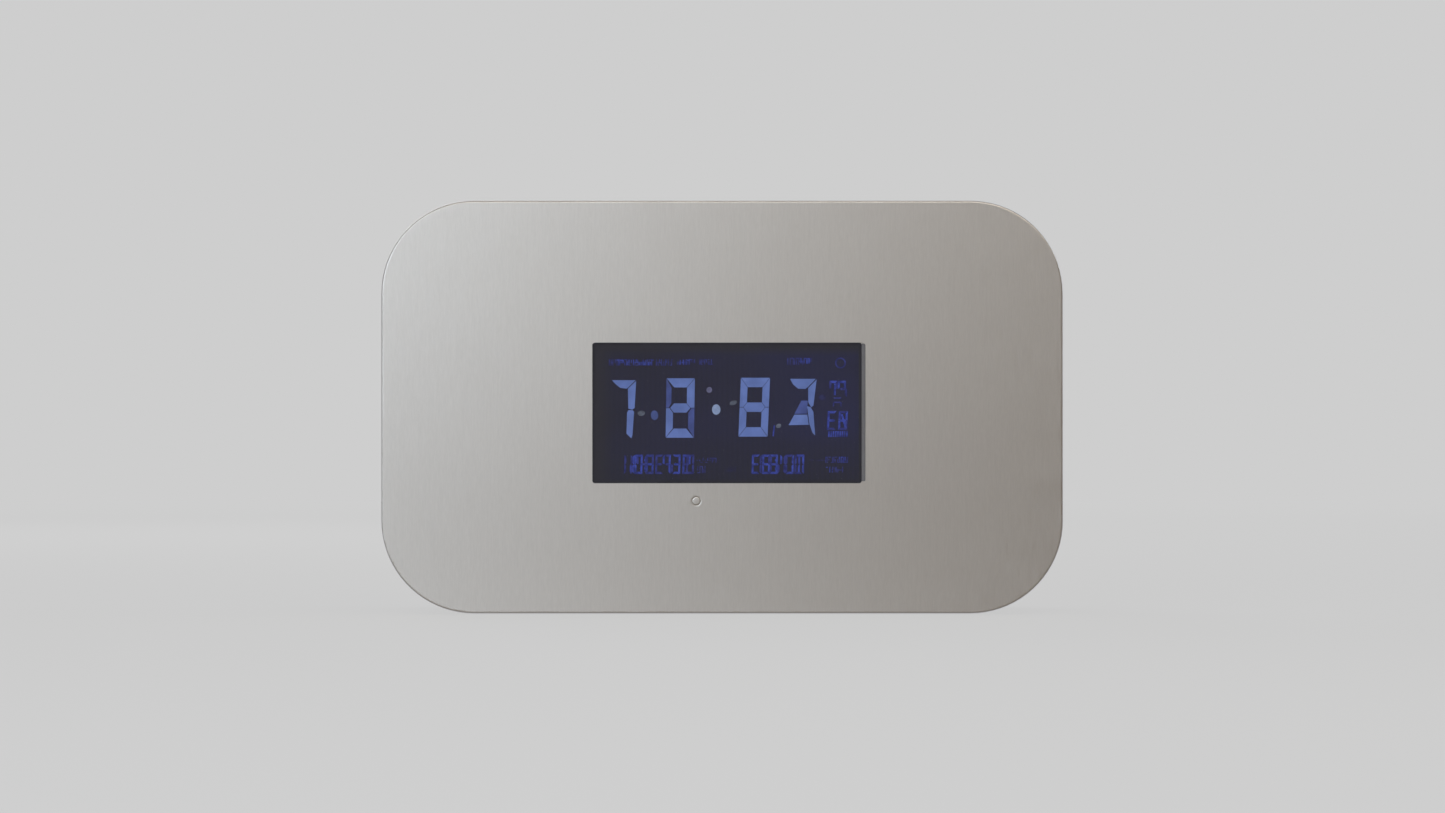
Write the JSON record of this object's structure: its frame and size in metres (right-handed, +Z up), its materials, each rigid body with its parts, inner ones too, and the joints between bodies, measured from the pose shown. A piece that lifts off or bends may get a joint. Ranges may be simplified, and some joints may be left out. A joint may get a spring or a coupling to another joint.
{
  "type": "punch time clock",
  "caption": "Flat-faced punch time clock with a display window in a rounded metal plate, a card slot on top and a hinged lockable front over a card feed and dot-matrix print unit.",
  "frame": {"origin": "middle of the footprint on the surface that the rubber feet stand on", "axes": "+X to the user's right across the width, +Y from the display face to the back, +Z up towards the card slot"},
  "size_m": [0.25, 0.092, 0.1517],
  "materials": {
    "face_metal": "satin, fine vertical brushing, clear anodised",
    "shell_plastic": "fine spark-eroded texture",
    "window": "clear, polished",
    "display_glass": "dark polarised glass",
    "light_guide": "polished",
    "circuit_board": "solder mask",
    "component": "moulded epoxy",
    "rubber": "matte",
    "steel": "ground",
    "sheet_steel": "zinc-plated sheet",
    "cast_alloy": "die-cast, tumbled",
    "brass": "turned",
    "motor_can": "plated steel can",
    "white_plastic": "natural acetal",
    "black_plastic": "moulded",
    "key_plastic": "moulded",
    "ribbon": "inked nylon",
    "cable_film": "polyester film",
    "cell": "sleeved cell"
  },
  "bodies": {
    "base": {"rear_housing": "shell_plastic", "main_board": "circuit_board", "keypad_board": "circuit_board", "board_parts": "component", "dc_jack": "black_plastic", "rubber_feet": "rubber", "carriage_belt": "rubber", "platen": "rubber", "hinge_pins": "steel", "card_slot_bezel": "black_plastic", "card_guide_front": "sheet_steel", "card_guide_rear": "sheet_steel", "card_rails": "sheet_steel", "frame_left": "sheet_steel", "frame_right": "sheet_steel", "frame_rods": "steel", "cross_beams": "sheet_steel", "chassis_screws": "steel", "feed_bushes": "white_plastic", "feed_motor": "motor_can", "carriage_motor": "motor_can", "pinch_springs": "steel", "guide_rods": "steel", "ribbon_cassette": "black_plastic", "ink_ribbon": "ribbon", "card_sensor": "black_plastic", "display_cable": "cable_film", "lock_body": "steel", "battery_tray": "black_plastic", "battery_cells": "cell", "keypad_panel": "black_plastic"},
    "door": {"front_plate": "face_metal", "front_cover": "shell_plastic", "window_lens": "window", "lcd_glass": "display_glass", "light_guide": "light_guide", "display_board": "circuit_board", "contact_strips": "rubber", "display_parts": "component"},
    "set_button_body": {"set_button": "face_metal"},
    "feed": {"feed_shaft": "steel", "feed_rollers": "rubber", "feed_gear": "white_plastic"},
    "idler": {"idler_gear": "white_plastic"},
    "pinion": {"motor_pinion": "brass"},
    "pinch": {"pinch_lever": "sheet_steel", "pinch_shaft": "steel"},
    "pinch_roll": {"pinch_rollers": "white_plastic"},
    "carriage": {"print_carriage": "black_plastic", "print_head": "cast_alloy"},
    "drive_pulley_body": {"drive_pulley": "white_plastic"},
    "tension_pulley_body": {"tension_pulley": "white_plastic"},
    "knob": {"ribbon_knob": "white_plastic"},
    "sensor": {"sensor_lever": "black_plastic"},
    "lock": {"lock_plug": "brass", "lock_cam": "steel"},
    "battery_door": {"battery_cover": "shell_plastic"},
    "mode_key": {"key_mode": "key_plastic"},
    "adjust_key": {"key_adjust": "key_plastic"},
    "enter_key": {"key_enter": "key_plastic"}
  },
  "joints": [
    {"name": "door_hinge", "type": "hinge", "parent": "base", "child": "door", "pos_m": [-0.1173, -0.026, 0.076], "axis": [0, 0, -1], "range_deg": [0, 90], "deforming": ["display_cable"]},
    {"name": "set_button_press", "type": "slide", "parent": "door", "child": "set_button_body", "axis": [0, 1, 0], "range_m": [0, 0.0004], "stiffness_N_per_m": 400, "springref_m": -0.001},
    {"name": "feed_spin", "type": "hinge", "parent": "base", "child": "feed", "pos_m": [0, 0.01915, 0.06], "axis": [1, 0, 0], "continuous": true},
    {"name": "idler_spin", "type": "hinge", "parent": "base", "child": "idler", "pos_m": [-0.0655, 0.01028, 0.03791], "axis": [1, 0, 0], "continuous": true},
    {"name": "pinion_spin", "type": "hinge", "parent": "base", "child": "pinion", "pos_m": [-0.0655, -0.005, 0.036], "axis": [1, 0, 0], "continuous": true},
    {"name": "pinch_swing", "type": "hinge", "parent": "base", "child": "pinch", "pos_m": [0, -0.004, 0.078], "axis": [-1, 0, 0], "range_deg": [0, 6], "stiffness_Nm_per_rad": 0.08, "springref_deg": -17.19, "deforming": ["pinch_springs"]},
    {"name": "pinch_roll_spin", "type": "hinge", "parent": "pinch", "child": "pinch_roll", "pos_m": [0, 0.00685, 0.06], "axis": [1, 0, 0], "continuous": true},
    {"name": "carriage_slide", "type": "slide", "parent": "base", "child": "carriage", "axis": [1, 0, 0], "range_m": [-0.028, 0.028]},
    {"name": "drive_pulley_spin", "type": "hinge", "parent": "base", "child": "drive_pulley_body", "pos_m": [-0.044, -0.0105, 0.09], "axis": [0, 1, 0], "range_deg": [-322, 322]},
    {"name": "tension_pulley_spin", "type": "hinge", "parent": "base", "child": "tension_pulley_body", "pos_m": [0.044, -0.0105, 0.09], "axis": [0, 1, 0], "range_deg": [-322, 322]},
    {"name": "ribbon_knob_spin", "type": "hinge", "parent": "base", "child": "knob", "pos_m": [0.038, -0.033, 0.139], "axis": [0, 1, 0], "continuous": true},
    {"name": "sensor_swing", "type": "hinge", "parent": "base", "child": "sensor", "pos_m": [0.0305, 0.021, 0.092], "axis": [1, 0, 0], "range_deg": [0, 30], "stiffness_Nm_per_rad": 0.0005, "springref_deg": -17.19},
    {"name": "lock_turn", "type": "hinge", "parent": "base", "child": "lock", "pos_m": [0.112, -0.006, 0.076], "axis": [-1, 0, 0], "range_deg": [0, 90]},
    {"name": "battery_cover_swing", "type": "hinge", "parent": "base", "child": "battery_door", "pos_m": [0.095, 0.0449, 0.0414], "axis": [-1, 0, 0], "range_deg": [0, 95]},
    {"name": "mode_key_press", "type": "slide", "parent": "base", "child": "mode_key", "axis": [0, 1, 0], "range_m": [0, 0.0004], "stiffness_N_per_m": 300, "springref_m": -0.001},
    {"name": "adjust_key_press", "type": "slide", "parent": "base", "child": "adjust_key", "axis": [0, 1, 0], "range_m": [0, 0.0004], "stiffness_N_per_m": 300, "springref_m": -0.001},
    {"name": "enter_key_press", "type": "slide", "parent": "base", "child": "enter_key", "axis": [0, 1, 0], "range_m": [0, 0.0004], "stiffness_N_per_m": 300, "springref_m": -0.001}
  ],
  "couplings": [
    {"joint": "idler_spin", "follows": "feed_spin", "ratio": -1.4286},
    {"joint": "pinion_spin", "follows": "feed_spin", "ratio": 2.5},
    {"joint": "pinch_roll_spin", "follows": "feed_spin", "ratio": -1.4},
    {"joint": "drive_pulley_spin", "follows": "carriage_slide", "rad_per_m": 200},
    {"joint": "tension_pulley_spin", "follows": "carriage_slide", "rad_per_m": 200}
  ]
}
